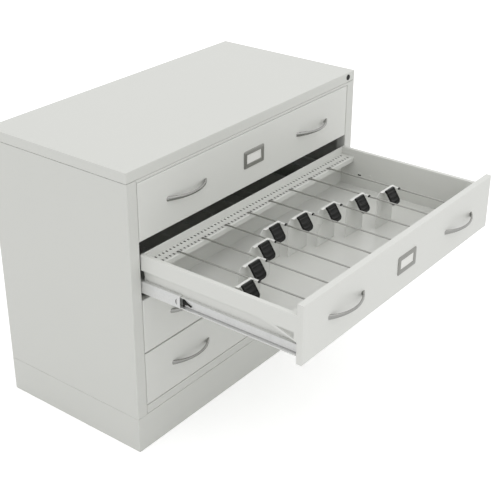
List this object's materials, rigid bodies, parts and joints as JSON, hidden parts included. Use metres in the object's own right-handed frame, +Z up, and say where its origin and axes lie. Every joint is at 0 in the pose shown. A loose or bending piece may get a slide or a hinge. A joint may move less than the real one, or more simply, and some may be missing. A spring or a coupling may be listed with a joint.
{
  "type": "microfiche cabinet",
  "caption": "Low metal card cabinet on a plinth, with wide drawers on telescopic runners; one is fully out and shows guide rods, slotted rails and sliding follower blocks.",
  "frame": {"origin": "on the floor under the middle of the casework", "axes": "+X to the cabinet's right as one faces it, +Y from the front to the back, +Z up"},
  "size_m": [0.914, 0.932, 0.75],
  "materials": {
    "grey_paint": "semi-gloss",
    "drawer_paint": "semi-gloss",
    "follower_paint": "semi-gloss",
    "zinc": "satin",
    "bright_wire": "satin",
    "handle_metal": "satin",
    "label_frame": "polished",
    "black_plastic": "satin",
    "black_lock": "gloss",
    "lock_steel": "satin",
    "ballast_iron": "matte",
    "glide_black": "matte"
  },
  "bodies": {
    "cabinet": {"top_shell": "grey_paint", "top_frame": "grey_paint", "side_panel_right": "grey_paint", "side_panel_left": "grey_paint", "back_panel": "grey_paint", "bottom_pan": "grey_paint", "base_plinth": "grey_paint", "rear_uprights": "zinc", "levelling_glides": "glide_black", "ballast_slab": "ballast_iron", "cabinet_runners": "zinc", "lock_housing": "black_lock"},
    "lock_plug": {"lock_plug": "black_lock"},
    "lock_bar": {"lock_bar": "lock_steel"},
    "drawer_1": {"drawer_front_1": "grey_paint", "drawer_box_1": "drawer_paint", "handles_1": "handle_metal", "label_holder_1": "label_frame", "drawer_runners_1": "zinc", "divider_rack_1": "bright_wire"},
    "intermediate_1": {"intermediate_runners_1": "zinc"},
    "drawer_2": {"drawer_front_2": "grey_paint", "drawer_box_2": "drawer_paint", "handles_2": "handle_metal", "label_holder_2": "label_frame", "drawer_runners_2": "zinc", "slotted_rails": "drawer_paint", "guide_rods": "bright_wire"},
    "intermediate_2": {"intermediate_runners_2": "zinc"},
    "drawer_3": {"drawer_front_3": "grey_paint", "drawer_box_3": "drawer_paint", "handles_3": "handle_metal", "label_holder_3": "label_frame", "drawer_runners_3": "zinc", "divider_rack_3": "bright_wire"},
    "intermediate_3": {"intermediate_runners_3": "zinc"},
    "drawer_4": {"drawer_front_4": "grey_paint", "drawer_box_4": "drawer_paint", "handles_4": "handle_metal", "label_holder_4": "label_frame", "drawer_runners_4": "zinc", "divider_rack_4": "bright_wire"},
    "intermediate_4": {"intermediate_runners_4": "zinc"},
    "follower_1": {"follower_plate_1": "follower_paint", "follower_strut_1": "black_plastic"},
    "follower_2": {"follower_plate_2": "follower_paint", "follower_strut_2": "black_plastic"},
    "follower_3": {"follower_plate_3": "follower_paint", "follower_strut_3": "black_plastic"},
    "follower_4": {"follower_plate_4": "follower_paint", "follower_strut_4": "black_plastic"},
    "follower_5": {"follower_plate_5": "follower_paint", "follower_strut_5": "black_plastic"},
    "follower_6": {"follower_plate_6": "follower_paint", "follower_strut_6": "black_plastic"},
    "follower_7": {"follower_plate_7": "follower_paint", "follower_strut_7": "black_plastic"},
    "follower_8": {"follower_plate_8": "follower_paint", "follower_strut_8": "black_plastic"}
  },
  "joints": [
    {"name": "drawer_1_slide", "type": "slide", "parent": "cabinet", "child": "drawer_1", "axis": [0, -1, 0], "range_m": [0, 0.45]},
    {"name": "intermediate_1_slide", "type": "slide", "parent": "cabinet", "child": "intermediate_1", "axis": [0, -1, 0], "range_m": [0, 0.135]},
    {"name": "drawer_2_slide", "type": "slide", "parent": "cabinet", "child": "drawer_2", "axis": [0, -1, 0], "range_m": [-0.45, 0]},
    {"name": "intermediate_2_slide", "type": "slide", "parent": "cabinet", "child": "intermediate_2", "axis": [0, -1, 0], "range_m": [-0.135, 0]},
    {"name": "drawer_3_slide", "type": "slide", "parent": "cabinet", "child": "drawer_3", "axis": [0, -1, 0], "range_m": [0, 0.45]},
    {"name": "intermediate_3_slide", "type": "slide", "parent": "cabinet", "child": "intermediate_3", "axis": [0, -1, 0], "range_m": [0, 0.135]},
    {"name": "drawer_4_slide", "type": "slide", "parent": "cabinet", "child": "drawer_4", "axis": [0, -1, 0], "range_m": [0, 0.45]},
    {"name": "intermediate_4_slide", "type": "slide", "parent": "cabinet", "child": "intermediate_4", "axis": [0, -1, 0], "range_m": [0, 0.135]},
    {"name": "follower_1_slide", "type": "slide", "parent": "drawer_2", "child": "follower_1", "axis": [0, -1, 0], "range_m": [-0.212, 0.1012]},
    {"name": "follower_2_slide", "type": "slide", "parent": "drawer_2", "child": "follower_2", "axis": [0, -1, 0], "range_m": [-0.166, 0.1472]},
    {"name": "follower_3_slide", "type": "slide", "parent": "drawer_2", "child": "follower_3", "axis": [0, -1, 0], "range_m": [-0.126, 0.1872]},
    {"name": "follower_4_slide", "type": "slide", "parent": "drawer_2", "child": "follower_4", "axis": [0, -1, 0], "range_m": [-0.091, 0.2222]},
    {"name": "follower_5_slide", "type": "slide", "parent": "drawer_2", "child": "follower_5", "axis": [0, -1, 0], "range_m": [-0.11, 0.2032]},
    {"name": "follower_6_slide", "type": "slide", "parent": "drawer_2", "child": "follower_6", "axis": [0, -1, 0], "range_m": [-0.135, 0.1782]},
    {"name": "follower_7_slide", "type": "slide", "parent": "drawer_2", "child": "follower_7", "axis": [0, -1, 0], "range_m": [-0.163, 0.1502]},
    {"name": "follower_8_slide", "type": "slide", "parent": "drawer_2", "child": "follower_8", "axis": [0, -1, 0], "range_m": [-0.199, 0.1142]},
    {"name": "lock_turn", "type": "hinge", "parent": "cabinet", "child": "lock_plug", "pos_m": [0.425, -0.2285, 0.737], "axis": [0, -1, 0], "range_deg": [0, 90]},
    {"name": "lock_bar_lift", "type": "slide", "parent": "cabinet", "child": "lock_bar", "axis": [0, 0, 1], "range_m": [0, 0.005]}
  ],
  "couplings": [
    {"joint": "intermediate_1_slide", "follows": "drawer_1_slide", "ratio": 0.3},
    {"joint": "intermediate_2_slide", "follows": "drawer_2_slide", "ratio": 0.3},
    {"joint": "intermediate_3_slide", "follows": "drawer_3_slide", "ratio": 0.3},
    {"joint": "intermediate_4_slide", "follows": "drawer_4_slide", "ratio": 0.3},
    {"joint": "lock_turn", "follows": "lock_bar_lift", "rad_per_m": 314.16}
  ]
}
